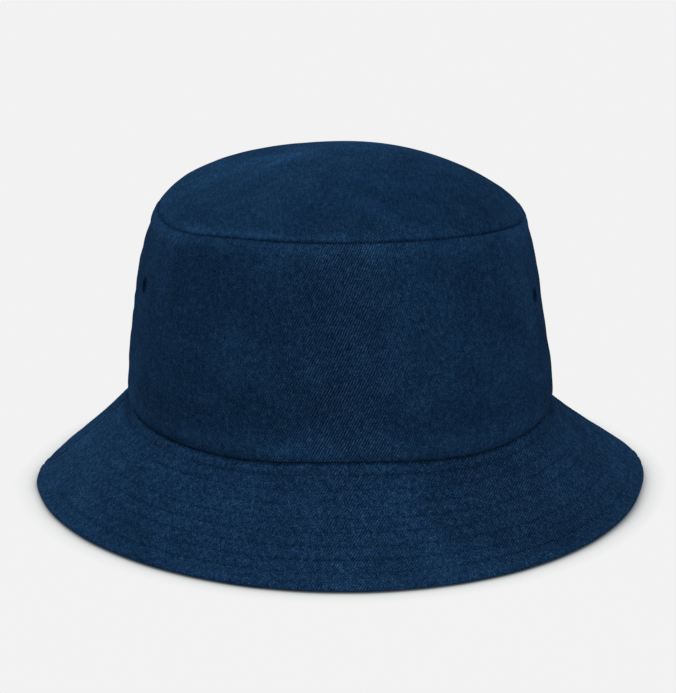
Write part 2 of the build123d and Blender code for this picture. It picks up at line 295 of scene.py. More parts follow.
class Nodes:
    def __init__(self, name):
        self.m = bpy.data.materials.new(name)
        self.m.use_nodes = True
        self.t = self.m.node_tree
        self.t.nodes.clear()
        self.out = self.n("ShaderNodeOutputMaterial")

    def n(self, kind, **props):
        x = self.t.nodes.new(kind)
        for k, v in props.items():
            setattr(x, k, v)
        return x

    def put(self, socket, v):
        if hasattr(v, "is_output") and v.is_output:
            self.t.links.new(v, socket)
        elif v is not None:
            socket.default_value = v
        return socket

    def math(self, op, a, b=None, c=None, clamp=False):
        x = self.n("ShaderNodeMath", operation=op, use_clamp=clamp)
        for i, v in enumerate((a, b, c)):
            if v is not None:
                self.put(x.inputs[i], v)
        return x.outputs[0]

    def noise(self, vec, scale, detail=2.0, rough=0.5, dist=0.0, dim="3D", w=None):
        x = self.n("ShaderNodeTexNoise", noise_dimensions=dim)
        if vec is not None:
            self.put(x.inputs["Vector"], vec)
        x.inputs["Scale"].default_value = scale
        x.inputs["Detail"].default_value = detail
        x.inputs["Roughness"].default_value = rough
        x.inputs["Distortion"].default_value = dist
        return x.outputs[0]

    def ramp(self, v, lo, hi, a=0.0, b=1.0, soft=True):
        x = self.n("ShaderNodeMapRange", interpolation_type="SMOOTHSTEP" if soft else "LINEAR", clamp=True)
        for i, val in enumerate((v, lo, hi, a, b)):
            self.put(x.inputs[i], val)
        return x.outputs[0]

    def scale3(self, vec, s):
        x = self.n("ShaderNodeVectorMath", operation="MULTIPLY")
        self.put(x.inputs[0], vec)
        x.inputs[1].default_value = s
        return x.outputs[0]

    def mix(self, f, a, b, blend="MIX"):
        x = self.n("ShaderNodeMix", data_type="RGBA", blend_type=blend)
        self.put(x.inputs[0], f)
        self.put(x.inputs[6], a)
        self.put(x.inputs[7], b)
        return x.outputs[2]

    def grey(self, v):
        x = self.n("ShaderNodeCombineColor")
        for i in range(3):
            self.put(x.inputs[i], v)
        return x.outputs[0]

    def attr(self, name):
        x = self.n("ShaderNodeAttribute", attribute_name=name)
        return x.outputs["Fac"]

    def uv_mm(self):
        u = self.n("ShaderNodeUVMap", uv_map="cloth")
        v = self.scale3(u.outputs[0], (100.0, 100.0, 100.0))
        s = self.n("ShaderNodeSeparateXYZ")
        self.put(s.inputs[0], v)
        return v, s.outputs[0], s.outputs[1]

    def shader(self, color, rough, height=None, dist=0.0003, strength=1.0, spec=0.12, sheen=0.0, sheen_tint=(1, 1, 1, 1), sheen_rough=0.5, tint=None):
        b = self.n("ShaderNodeBsdfPrincipled")
        self.put(b.inputs["Base Color"], color)
        self.put(b.inputs["Roughness"], rough)
        b.inputs["Specular IOR Level"].default_value = spec
        if tint is not None:
            b.inputs["Specular Tint"].default_value = tint
        b.inputs["Sheen Weight"].default_value = sheen
        b.inputs["Sheen Roughness"].default_value = sheen_rough
        b.inputs["Sheen Tint"].default_value = sheen_tint
        if height is not None:
            k = self.n("ShaderNodeBump")
            k.inputs["Strength"].default_value = strength
            k.inputs["Distance"].default_value = dist
            self.put(k.inputs["Height"], height)
            self.put(b.inputs["Normal"], k.outputs[0])
        self.put(self.out.inputs[0], b.outputs[0])
        return self.m


def denim(name, base, light, lean=1.0, rib=0.56, stroke=0.34, grain=0.58, mottle=2.4, slub=0.9, fade=1.0, pitch=1.08, angle=64.0, bump=0.00015, flecks=0.35, grit=0.0):
    """Warp-faced twill: steep diagonal ribs made of short floats, with slubs, neps and soft fading.
    base is the dark yarn colour and light that of the neps; lean is the side the ribs lean to."""
    k = Nodes(name)
    v, x, y = k.uv_mm()
    # the ribs wander a little, as loom-state cloth does
    wob = k.noise(k.scale3(v, (0.05, 0.05, 1)), 1.0, 2.0, 0.5)
    fine = k.noise(k.scale3(v, (0.55, 0.25, 1)), 1.0, 2.0, 0.6)
    xx = k.math("ADD", x, k.math("MULTIPLY", k.math("SUBTRACT", wob, 0.5), 0.9))
    xx = k.math("ADD", xx, k.math("MULTIPLY", k.math("SUBTRACT", fine, 0.5), 0.75))
    rise = lean * pitch * math.tan(math.radians(angle))
    ph = k.math("SUBTRACT", k.math("MULTIPLY", xx, 1.0 / pitch), k.math("MULTIPLY", y, 1.0 / rise))
    ribs = k.math("MULTIPLY_ADD", k.math("COSINE", k.math("MULTIPLY", ph, TAU)), 0.5, 0.5)
    # coordinates along and across the ribs, for the floats
    ca, sa = math.cos(math.radians(angle)) * lean, math.sin(math.radians(angle))
    along = k.math("ADD", k.math("MULTIPLY", x, ca), k.math("MULTIPLY", y, sa))
    across = k.math("SUBTRACT", k.math("MULTIPLY", x, sa), k.math("MULTIPLY", y, ca))
    c = k.n("ShaderNodeCombineXYZ")
    k.put(c.inputs[0], k.math("MULTIPLY", across, 1.0 / 0.46))
    k.put(c.inputs[1], k.math("MULTIPLY", along, 1.0 / 1.25))
    strokes = k.noise(c.outputs[0], 1.0, 2.0, 0.6)
    grains = k.noise(k.scale3(v, (1.75, 1.4, 1)), 1.0, 2.0, 0.80)
    blots = k.noise(k.scale3(v, (0.50, 0.42, 1)), 1.0, 3.0, 0.78)
    slubs = k.noise(k.scale3(v, (1.3, 0.15, 1)), 1.0, 3.0, 0.6)
    nep = k.noise(k.scale3(v, (1.15, 0.85, 7)), 1.0, 1.0, 0.5)
    low = k.noise(k.scale3(v, (0.018, 0.016, 1)), 1.0, 3.0, 0.6)
    mid = k.noise(k.scale3(v, (0.085, 0.07, 1)), 1.0, 3.0, 0.6)
    crisp = k.math("SUBTRACT", 1.0, k.attr("soft"))
    g = k.math("MULTIPLY", k.math("SUBTRACT", ribs, 0.5), 2.0 * rib)
    g = k.math("ADD", g, k.math("MULTIPLY", k.math("SUBTRACT", strokes, 0.5), 6.0 * stroke))
    g = k.math("MULTIPLY", g, crisp)
    g = k.math("ADD", g, k.math("MULTIPLY", k.math("SUBTRACT", grains, 0.5), k.math("MULTIPLY_ADD", crisp, 5.0 * grain * grit, 5.0 * grain)))
    g = k.math("ADD", g, k.math("MULTIPLY", k.math("SUBTRACT", blots, 0.5), mottle))
    g = k.math("ADD", g, k.math("MULTIPLY", k.math("SUBTRACT", slubs, 0.5), slub))
    # the undyed core of the yarn shows through where the cloth is light, so the weave greys as well as lightens
    warm = k.n("ShaderNodeCombineColor")
    for i, p in enumerate((1.54, 0.89, 0.65)):
        k.put(warm.inputs[i], k.math("MINIMUM", k.math("EXPONENT", k.math("MULTIPLY", g, p)), 6.0))
    u = k.math("MULTIPLY", k.math("SUBTRACT", mid, 0.5), 0.85 * fade)
    u = k.math("ADD", u, k.math("MULTIPLY", k.math("SUBTRACT", low, 0.5), 0.95 * fade))
    # lighter where the mesh marks real wear and painted highlights
    u = k.math("ADD", u, k.math("MULTIPLY", k.attr("wear_and_painted_light"), 0.75))
    # darker in seam grooves and quilting channels: painted shade
    u = k.math("SUBTRACT", u, k.math("MULTIPLY", k.attr("painted_groove_shade"), 1.5))
    f = k.math("MULTIPLY", k.math("EXPONENT", u), 0.86)
    col = k.mix(1.0, k.mix(1.0, base, warm.outputs[0], "MULTIPLY"), k.grey(f), "MULTIPLY")
    spot = k.ramp(nep, 0.64, 0.80)
    col = k.mix(k.math("MULTIPLY", spot, flecks), col, light)
    h = k.math("ADD", ribs, k.math("MULTIPLY", strokes, 1.6))
    h = k.math("ADD", k.math("MULTIPLY", h, crisp), k.math("MULTIPLY", grains, 0.9))
    h = k.math("ADD", h, k.math("MULTIPLY", slubs, 1.0))
    return k.shader(col, 0.95, h, dist=bump, strength=1.0, spec=0.0, sheen=0.010, sheen_tint=(0.35, 0.62, 1.0, 1), sheen_rough=0.4)


def thread(name, base, spec=0.0, pitch=0.42, shade=0.35, sheen=0.0):
    """Twisted sewing thread: the ply runs slantwise round it."""
    k = Nodes(name)
    v, x, y = k.uv_mm()
    ply = k.math("SINE", k.math("MULTIPLY", k.math("ADD", x, k.math("MULTIPLY", y, 0.55)), TAU / pitch))
    ply = k.math("MULTIPLY_ADD", ply, 0.5, 0.5)
    var = k.noise(k.scale3(v, (0.08, 0.08, 1)), 1.0, 2.0, 0.5)
    f = k.math("ADD", k.math("MULTIPLY_ADD", ply, shade, 1.0 - shade / 2), k.math("MULTIPLY", k.math("SUBTRACT", var, 0.5), 0.4))
    col = k.mix(1.0, base, k.grey(f), "MULTIPLY")
    return k.shader(col, k.math("MULTIPLY_ADD", ply, -0.12, 0.62), ply, dist=0.00006, spec=spec, sheen=sheen)


def plain_weave(name, base, light, per_mm=2.2, bump=0.00012, slant=0.0, spec=0.12, sheen=0.08, contrast=0.25, herring=0.0):
    """A plain or herringbone weave with slightly uneven yarns."""
    k = Nodes(name)
    v, x, y = k.uv_mm()
    if herring:
        z = k.math("PINGPONG", x, herring)
        ph = k.math("ADD", k.math("MULTIPLY", z, per_mm * 0.55), k.math("MULTIPLY", y, per_mm * 0.55))
        wv = k.math("MULTIPLY_ADD", k.math("SINE", k.math("MULTIPLY", ph, TAU)), 0.5, 0.5)
    else:
        xs = k.math("ADD", x, k.math("MULTIPLY", y, slant))
        ys = k.math("SUBTRACT", y, k.math("MULTIPLY", x, slant))
        a = k.math("SINE", k.math("MULTIPLY", xs, math.pi * per_mm))
        b = k.math("SINE", k.math("MULTIPLY", ys, math.pi * per_mm))
        wv = k.math("MULTIPLY_ADD", k.math("MULTIPLY", a, b), 0.5, 0.5)
    slub = k.noise(k.scale3(v, (1.4, 0.5, 1)), 1.0, 3.0, 0.6)
    low = k.noise(k.scale3(v, (0.05, 0.05, 1)), 1.0, 2.0, 0.5)
    f = k.math("MULTIPLY_ADD", k.math("SUBTRACT", wv, 0.5), contrast * 2, 1.0)
    f = k.math("ADD", f, k.math("MULTIPLY", k.math("SUBTRACT", slub, 0.5), 0.7))
    f = k.math("ADD", f, k.math("MULTIPLY", k.math("SUBTRACT", low, 0.5), 0.3))
    # darker along the stitch lines: painted shade
    f = k.math("MULTIPLY", f, k.math("MULTIPLY_ADD", k.attr("painted_groove_shade"), -0.5, 1.0))
    col = k.mix(1.0, base, k.grey(f), "MULTIPLY")
    col = k.mix(k.math("MULTIPLY", k.ramp(slub, 0.62, 0.8), 0.35), col, light)
    h = k.math("ADD", wv, k.math("MULTIPLY", slub, 0.6))
    return k.shader(col, 0.85, h, dist=bump, spec=spec, sheen=sheen, sheen_tint=light)


INDIGO = (0.0054, 0.0216, 0.0543, 1)
FLECK = (0.022, 0.060, 0.125, 1)
M_DENIM = denim("denim_face", INDIGO, FLECK, rib=0.67, stroke=0.40, grain=0.71, pitch=1.12)
M_BRIM = denim("denim_brim", INDIGO, FLECK, grain=0.95, mottle=3.0, slub=0.7, pitch=1.12, angle=59.5, rib=0.60, stroke=0.36)
M_TIP = denim("denim_tip", INDIGO, FLECK, rib=0.46, stroke=0.28, grain=0.36, mottle=1.9, slub=1.7, flecks=0.25, bump=0.00010, grit=1.1)
M_BACK = denim("denim_back", (0.060, 0.095, 0.150, 1), (0.22, 0.26, 0.33, 1), lean=-1.0, rib=0.35, stroke=0.2, grain=0.25, mottle=1.0, slub=0.9, flecks=0.6)
M_THREAD = thread("navy_thread", (0.0046, 0.0162, 0.0410, 1))
# eyelet thread a little darker than the stitching thread, partly painted shade of the holes
M_EYELET = thread("eyelet_thread", (0.0040, 0.0140, 0.0330, 1), pitch=0.5)
M_TAPE = plain_weave("bias_tape_cotton", (0.006, 0.009, 0.016, 1), (0.02, 0.028, 0.042, 1), slant=1.0)
M_BAND = plain_weave("sweatband_twill", (0.010, 0.020, 0.045, 1), (0.035, 0.055, 0.095, 1), per_mm=1.7, herring=4.0, contrast=0.32)
M_WOVEN = plain_weave("woven_label_satin", (0.010, 0.011, 0.014, 1), (0.05, 0.05, 0.055, 1), per_mm=3.0, spec=0.4, contrast=0.18)
M_CARE = plain_weave("care_label_satin", (0.70, 0.70, 0.67, 1), (0.85, 0.85, 0.82, 1), per_mm=3.2, spec=0.35, contrast=0.08, bump=0.00005)
M_INTER = plain_weave("interlining_nonwoven", (0.20, 0.20, 0.20, 1), (0.36, 0.36, 0.35, 1), per_mm=0.9, slant=0.6, contrast=0.12)

# ------------------------------------------------------------------ crown side band
made = []


def put(o, node, body="hat"):
    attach(o, body)
    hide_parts(node)
    made.append(o)
    return o


low_arc, low_arc_inv = along_ring(wall, 0.35)
base_arc, base_arc_inv = along_ring(wall, 0.02)


# shallow dents in the side band: angle and height of the middle, length, width, tilt in degrees, depth
DENTS = [(-128, 0.62, 30, 12, -12, 0.8), (-98, 0.54, 36, 12, -16, 1.0), (-104, 0.27, 24, 9, 4, 0.8), (-59, 0.72, 22, 9, 8, 0.7),
         (-62, 0.20, 26, 8, 0, 0.5), (-60, 0.43, 20, 14, 10, -0.5), (60, 0.55, 34, 13, 14, 0.8), (115, 0.35, 30, 11, -12, 0.8), (95, 0.75, 26, 9, 8, 0.6)]


def wall_relief(th, t):
    """Millimetres out of the plain band: seams, seam allowances pressed inside, soft folds and puckers."""
    d_top, d_bot = (1 - t) * 85.0, t * 85.0
    h = 0 * th
    # the tip seam rolls in, over a doubled ridge where the allowances lie inside
    h = h - (0.42 + 0.20 * gauss(wrap(th + math.pi / 2), 0.75)) * gauss(d_top, 0.8) + 0.42 * smooth(d_top, 0.6, 2.6) * (1 - smooth(d_top, 5.0, 8.5))
    # soft puckers below that seam
    a = low_arc(wrap(th))
    h = h + 0.22 * gauss(d_top - 4, 6.0) * fract_noise(th, t, 46, 3, 11, 2)
    # side seams, pressed open
    for c in (SEAM_R, SEAM_L):
        d = wrap(th - c) * 102.0
        h = h - 0.62 * gauss(d, 0.75) + 0.26 * smooth(np.abs(d), 0.8, 2.2) * (1 - smooth(np.abs(d), 7.5, 9.5))
        h = h + 0.13 * gauss(np.abs(d) - 2.5, 4.0) * np.sin(t * 85.0 * TAU / 8.5 + 1.3 * fract_noise(th, t, 8, 9, 5, 1))
    # gathered bulge just over the brim
    h = h + 0.45 * gauss(d_bot - 6.5, 6.5) * fract_noise(th, 0.2 + 0 * t, 34, 2, 21, 2)
    # broad, gentle unevenness of cloth that stands by itself
    free = smooth(d_top, 0, 14) * smooth(d_bot, 0, 8)
    h = h + free * (0.30 * fract_noise(th, t, 9, 3, 31, 2) + 0.20 * fract_noise(th, t, 40, 11, 41, 2))
    for c, at, long, wide, tilt, deep in DENTS:
        x, y = wrap(th - math.radians(c)) * 95.0, (t - at) * 85.0
        ct, st = math.cos(math.radians(tilt)), math.sin(math.radians(tilt))
        p, q = x * ct + y * st, y * ct - x * st
        h = h - deep * gauss(p, long) * gauss(q, wide)
    # two shallow upright folds near the right side, and a slanting one above them
    for c, w, amp, t0, t1 in ((-0.62, 0.045, 0.50, 0.10, 0.75), (-0.47, 0.035, 0.42, 0.05, 0.62), (-2.75, 0.05, 0.35, 0.15, 0.8)):
        h = h + amp * gauss(wrap(th - c - 0.05 * np.sin(t * 5)), w) * smooth(t, t0, t0 + 0.2) * (1 - smooth(t, t1 - 0.2, t1))
    u, v = wrap(th + 0.72) * 95.0, (t - 0.68) * 85.0
    p, q = (u - v) / 1.414, (u + v) / 1.414
    h = h + 0.55 * gauss(p, 2.6) * gauss(q, 9.0) - 0.35 * gauss(p - 4.5, 2.8) * gauss(q, 10.0)
    return h


# soft lighter and darker patches of the side band, mostly painted light and shade of its gentle undulations and partly
# wash fading: degrees from the front, height, half width and half height in mm, amount
WALL_FADE_AND_PAINTED_LIGHT = [(0, 0.20, 26, 12, 0.10), (6, 0.62, 18, 26, 0.09), (22, 0.33, 13, 13, 0.16), (30, 0.60, 15, 8, -0.12), (47, 0.30, 16, 14, 0.10), (60, 0.66, 14, 30, 0.22),
             (-20, 0.22, 16, 9, -0.16), (-33, 0.13, 22, 10, -0.12), (-42, 0.66, 24, 18, -0.16), (-24, 0.55, 18, 9, -0.10), (-66, 0.35, 12, 26, -0.10), (0, 0.0, 70, 5, 0.12),
             (22, 0.60, 14, 9, 0.13), (-25, 0.51, 14, 8, 0.10), (2, 0.61, 20, 10, -0.09), (-25, 0.32, 14, 7, -0.09), (34.5, 0.22, 10, 8, 0.12), (-25, 0.12, 14, 7, 0.13),
             (-54, 0.80, 12, 14, -0.09), (53, 0.78, 12, 14, 0.09), (0, 0.13, 60, 8, 0.04),
             (22, 0.84, 12, 8, -0.08), (7, 0.63, 10, 8, -0.07), (9, 0.10, 9, 7, 0.08), (-58, 0.36, 10, 14, -0.05), (-25, 0.30, 9, 5, -0.05), (-18, 0.12, 12, 6, 0.06),
             (-60, 0.07, 18, 8, -0.09), (-32, 0.13, 12, 6, -0.06), (31, 0.15, 12, 6, -0.07), (-21, 0.72, 9, 8, -0.07), (37, 0.70, 10, 9, -0.07), (18, 0.60, 8, 8, 0.07)]
# and of the brim, painted light and shade in the same way: degrees from the front, distance out from the seam in mm,
# half sizes, amount
BRIM_FADE_AND_PAINTED_LIGHT = [(-24, 16, 20, 12, 0.12), (-5, 40, 42, 14, 0.05), (36, 30, 20, 20, -0.12), (50, 44, 22, 10, -0.10), (18, 20, 16, 12, -0.06), (-46, 36, 26, 12, -0.06), (2, 50, 60, 4, 0.07),
             (-78, 42, 22, 12, 0.16), (-29, 39, 22, 16, -0.06), (24, 22, 16, 10, -0.06), (36, 40, 20, 10, -0.05), (-19, 12.5, 14, 7, 0.08), (-90, 38, 12, 12, 0.08), (26, 44, 14, 6, -0.06), (-36, 26, 12, 8, -0.05),
             (-48, 34, 40, 16, -0.03), (35, 24, 10, 7, -0.08)]
# and of the tip, painted light and shade in the same way, among them the light of its creases: place in mm, half sizes,
# amount
TIP_FADE_AND_PAINTED_LIGHT = [(-20, 12, 12, 30, 0.16), (18, -10, 26, 22, -0.12), (48, -40, 24, 22, -0.16), (0, 44, 40, 22, 0.16), (42, 44, 20, 20, 0.14), (-52, 30, 22, 34, 0.10),
            (8, 7, 24, 14, 0.14), (11, -48, 16, 16, -0.07), (-28, 40, 14, 14, -0.10), (-29.5, -17.5, 14, 14, 0.11), (66.5, -29.5, 12, 16, -0.12), (44, 26, 12, 10, 0.07), (52, -50, 18, 10, -0.07), (6, 58, 24, 8, 0.10), (13, 9, 26, 9, 0.09),
            (15, 9, 20, 8, 0.07), (-28, 39, 10, 12, -0.08), (14, -42, 14, 22, -0.05), (45, 8, 12, 10, 0.06)]


def patches(table, x, y):
    out = 0 * x
    for a, b, w, h, v in table:
        out = out + v * gauss(x - a, w) * gauss(y - b, h)
    return out


def ring_patches(table, th, y, radius, tall):
    deg, out = np.degrees(wrap(th + math.pi / 2)), 0 * th
    for a, b, w, h, v in table:
        out = out + v * gauss((deg - a) * math.pi / 180 * radius, w) * gauss((y - b) * tall, h)
    return out


# how far the diagonal of the weave has worn away, against the angle in degrees from the front
WALL_SOFT = [(-180, 0.45), (-120, 0.60), (-90, 0.70), (-52, 0.76), (-32, 0.72), (-16, 0.48), (-7, 0.10), (0, 0.0), (6, 0.14), (10, 0.38), (16, 0.58), (24, 0.82), (31, 0.86), (52, 0.82), (90, 0.70), (120, 0.60), (180, 0.45)]
BRIM_SOFT = [(-180, 0.55), (-90, 0.70), (-60, 0.72), (-38, 0.74), (-25, 0.80), (-16, 0.66), (-10, 0.58), (-2, 0.18), (3, 0.36), (8, 0.60), (15, 0.62), (24, 0.54), (31, 0.34), (38, 0.32), (52, 0.44), (62, 0.88), (70, 0.96), (90, 0.88), (180, 0.55)]


def soft_at(table, th):
    return eased(table, np.degrees(wrap(th + math.pi / 2)), 3.0)


def wall_marks(th, t):
    d_top, d_bot = (1 - t) * 85.0, t * 85.0
    # painted shade in the tip seam and in the seam over the brim
    painted_groove_shade = (0.30 + 0.30 * gauss(wrap(th + math.pi / 2), 0.75)) * gauss(d_top, 0.7) + 0.62 * gauss(d_bot, 0.85)
    # painted highlights: a lighter band under the tip seam, and a lift over the brim seam where the cloth turns down
    # out of the light
    wear_and_painted_light = 0.30 * gauss(d_top - 4.0, 4.5) + 0.10 * gauss(d_top - 2.4, 1.8) + 0.40 * gauss(d_bot - 4.5, 5.5)
    for c in (SEAM_R, SEAM_L):
        d = np.abs(wrap(th - c)) * 102.0
        # painted shade in each side seam, lighter lips beside it
        painted_groove_shade = painted_groove_shade + 0.8 * gauss(d, 0.6)
        wear_and_painted_light = wear_and_painted_light + 0.18 * gauss(d - 2.0, 1.5)
    # soft patches of painted light and shade, partly wash fading
    wear_and_painted_light = wear_and_painted_light + 1.33 * ring_patches(WALL_FADE_AND_PAINTED_LIGHT, th, t, 95.0, 85.0)
    return np.clip(wear_and_painted_light, -1, 1), np.clip(painted_groove_shade, 0, 1)


def on_wall(th, t, d, pouch=True, relief=True):
    th, t = np.broadcast_arrays(np.asarray(th, float), np.asarray(t, float))
    n = normals(lambda a, b: wall(a, b, pouch), th, t, 1.0)
    h = d + (wall_relief(th, t) if relief else 0.0 * th)
    return wall(th, t, pouch) + n * h[..., None], n


EYE_RIGHT, EYE_LEFT = math.radians(25.0), math.radians(19.5)
EYELETS = [("eyelet_right_front", SEAM_R - EYE_RIGHT, 0.655), ("eyelet_right_rear", SEAM_R + EYE_RIGHT, 0.655),
           ("eyelet_left_front", SEAM_L + EYE_LEFT, 0.680), ("eyelet_left_rear", SEAM_L - EYE_LEFT, 0.680)]
EYE_HOLE, EYE_R = 1.8, 3.2

nu, nv = ((430, 132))
for name, a, b in (("front", SEAM_L - TAU, SEAM_R), ("back", SEAM_R, SEAM_L)):
    gap = 0.03 / 102.0
    # even steps along the band
    u = np.linspace(0, 1, nu)
    th = a + gap + (b - a - 2 * gap) * u
    rows = np.concatenate([np.linspace(0.0046, 0.12, nv // 5)[:-1], np.linspace(0.12, 0.94, nv - nv // 5 - 12), np.linspace(0.94, 0.9955, 14)[1:]])
    TH, T = np.meshgrid(th, rows, indexing="ij")
    base, n = on_wall(TH, T, 0 * T)
    side = np.minimum(TH - th[0], th[-1] - TH) * 102.0
    k = edge_profile(side + 0.02, 0.42) * edge_profile((1 - T) * 85.0 - 0.38 + 0.02, 0.42) * edge_profile((T - 0.0046) * 85.0 + 0.05, 0.42)
    half = DENIM / 2
    out = base - n * (half - half * k)[..., None]
    inn = base - n * (half + half * k)[..., None]
    keep = np.ones((nu - 1, len(rows) - 1), bool)
    cc = (base[:-1, :-1] + base[1:, :-1] + base[1:, 1:] + base[:-1, 1:]) / 4
    for _, e, at in EYELETS:
        c0 = on_wall(np.array(e), np.array(at), 0.0)[0]
        keep &= np.linalg.norm(cc - c0, axis=-1) > 2.1
    verts, faces, kind = sheet_mesh(out, inn, keep)
    wear_and_painted_light, painted_groove_shade = wall_marks(TH, T)
    uv = np.stack([low_arc(TH), T * 85.0], -1).reshape(-1, 2)
    o = make("side_band_" + name, verts, faces, None, uv=np.concatenate([uv, uv]),
             attrs={"wear_and_painted_light": np.concatenate([wear_and_painted_light.ravel()] * 2), "painted_groove_shade": np.concatenate([painted_groove_shade.ravel()] * 2),
                    "soft": np.concatenate([soft_at(WALL_SOFT, TH).ravel()] * 2)},
             mats=[M_DENIM, M_BACK], face_mat=(kind == 1).astype(int))
    put(o, "crown_side_" + name)

# ------------------------------------------------------------------ tip of the crown
RIDGE = np.array([(-0.66, -0.34), (-0.48, -0.10), (-0.33, 0.05), (-0.13, 0.19), (0.09, 0.20), (0.31, 0.18), (0.48, 0.20), (0.66, 0.16)])


def near_line(x, y, pts):
    """Distance to a polyline and where along it, in the plane."""
    best, where = np.full(x.shape, 1e9), np.zeros(x.shape)
    seg = np.linalg.norm(np.diff(pts, axis=0), axis=1)
    at = np.concatenate([[0], np.cumsum(seg)])
    side = np.zeros(x.shape)
    for i in range(len(pts) - 1):
        p, d = pts[i], pts[i + 1] - pts[i]
        f = np.clip(((x - p[0]) * d[0] + (y - p[1]) * d[1]) / (d @ d), 0, 1)
        ex, ey = x - p[0] - f * d[0], y - p[1] - f * d[1]
        r = np.hypot(ex, ey)
        m = r < best
        best = np.where(m, r, best)
        where = np.where(m, (at[i] + f * seg[i]) / at[-1], where)
        side = np.where(m, np.sign(d[0] * ey - d[1] * ex), side)
    return best, where, side


def smooth_line(pts, n=60):
    """A smooth curve through points, Catmull-Rom."""
    p = np.vstack([2 * pts[0] - pts[1], pts, 2 * pts[-1] - pts[-2]])
    out = []
    for i in range(1, len(p) - 2):
        for f in np.linspace(0, 1, n // (len(pts) - 1) + 1)[:-1]:
            out.append(0.5 * (2 * p[i] + (p[i + 1] - p[i - 1]) * f + (2 * p[i - 1] - 5 * p[i] + 4 * p[i + 1] - p[i + 2]) * f ** 2
                              + (3 * p[i] - p[i - 1] - 3 * p[i + 1] + p[i + 2]) * f ** 3))
    return np.array(out + [p[-2]])


def tip_relief(x, y):
    ax, ay, cx, cy, _ = TIP_RING
    X, Y = (x - cx) / ax, (y - cy) / ay
    r = np.hypot(X, Y)
    phi = np.arctan2(Y, X)
    d_rim = (1 - r) * 80.0
    h = -(0.38 + 0.20 * gauss(wrap(phi + math.pi / 2), 0.75)) * gauss(d_rim, 0.8) + 0.12 * gauss(d_rim - 3.0, 1.8)
    # a soft crease where the stiff cloth breaks over the dome
    d, f, side = near_line(X, Y, smooth_line(RIDGE))
    d = d * 80.0
    fade = np.sin(np.clip(f, 0, 1) * math.pi) ** 0.7
    h = h + fade * (1.35 * np.exp(-np.sqrt(d * d + 2.0) / 7.0) - 0.55 * gauss(d - 15.0, 9.0) * (side > 0) - 0.25 * gauss(d - 14.0, 9.0) * (side < 0))
    h = h + smooth(d_rim, 1, 12) * (0.50 * fract_noise(phi, r, 5, 2, 61, 2) * smooth(r, 0.1, 0.5))
    h = h + 0.14 * gauss(d_rim - 4, 6.0) * fract_noise(phi, r, 52, 3, 71, 2)
    return h


def on_tip(th, r, d):
    p = tip(th, r)
    e = 1e-3
    hx = (tip_height(p[..., 0] + e, p[..., 1]) - tip_height(p[..., 0] - e, p[..., 1])) / (2 * e)
    hy = (tip_height(p[..., 0], p[..., 1] + e) - tip_height(p[..., 0], p[..., 1] - e)) / (2 * e)
    n = np.stack([-hx, -hy, 1 + 0 * hx], -1)
    n /= np.linalg.norm(n, axis=-1, keepdims=True)
    return p + n * (tip_relief(p[..., 0], p[..., 1]) + d)[..., None], n


nu, nv = ((480, 110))
th = np.linspace(0, TAU, nu, endpoint=False)
rows = np.concatenate([np.linspace(0.004, 0.93, nv - 16), np.linspace(0.93, 0.9995, 17)[1:]])
TH, R = np.meshgrid(th, rows, indexing="ij")
base, n = on_tip(TH, R, 0.0)
half = DENIM / 2
k = edge_profile((1 - R) * 80.0, 0.42)
out, inn = base - n * (half - half * k)[..., None], base - n * (half + half * k)[..., None]
verts, faces, kind = sheet_mesh(out, inn, closed=True)
nn = len(out.reshape(-1, 3))
# close the little hole in the middle of each side, in place of its rim
faces, kind = faces[~((kind == 2) & (np.abs(np.hypot(verts[faces[:, 0], 0], verts[faces[:, 0], 1] + 0.4)) < 3))], kind[~((kind == 2) & (np.abs(np.hypot(verts[faces[:, 0], 0], verts[faces[:, 0], 1] + 0.4)) < 3))]
ring0 = np.arange(nu) * len(rows)
mid_o, mid_i = on_tip(np.array(0.0), np.array(0.0), 0.0)[0], on_tip(np.array(0.0), np.array(0.0), -DENIM)[0]
verts = np.vstack([verts, mid_o, mid_i])
# a fan of quads, each spanning two columns
a, m, b = ring0[0::2], ring0[1::2], np.roll(ring0[0::2], -1)
fan_o = np.stack([np.full(len(a), 2 * nn), a, m, b], -1)
fan_i = np.stack([np.full(len(a), 2 * nn + 1), b + nn, m + nn, a + nn], -1)
faces = np.vstack([faces, fan_o, fan_i])
kind = np.concatenate([kind, np.zeros(len(a)), np.ones(len(a))])
d_rim = (1 - R) * 80.0
# painted shade in the seam round the tip
painted_groove_shade = np.clip((0.25 + 0.28 * gauss(wrap(TH + math.pi / 2), 0.75)) * gauss(d_rim, 0.6), 0, 1)
soft = np.clip(0.08 + 0.92 * smooth(d_rim, 5, 25) + 0.60 * smooth(np.abs(wrap(TH + math.pi / 2)), 0.14, 0.52), 0, 1)
d, f, side = near_line(base[..., 0] / 75.16, (base[..., 1] + 0.4) / 87.64, smooth_line(RIDGE))
fadeout = np.sin(np.clip(f, 0, 1) * math.pi) ** 0.7
# painted highlights: along the crease, on the side of it that faces the light, and on the lip inside the seam,
# strongest at the left front
wear_and_painted_light = 0.34 * gauss(d * 80.0, 5.5) * fadeout + 0.20 * (side > 0) * smooth(d * 80.0, 0.0, 8.0) * (1 - smooth(d * 80.0, 22.0, 45.0)) * fadeout + 0.17 * gauss(d_rim - 3.0, 2.8) * (1 - 0.85 * smooth(wrap(TH + math.pi / 2), -0.10, 0.30)) + 0.42 * gauss(d_rim - 2.2, 1.6) * (0.16 + 0.64 * gauss(wrap(TH + math.pi / 2 + 0.62), 0.62))
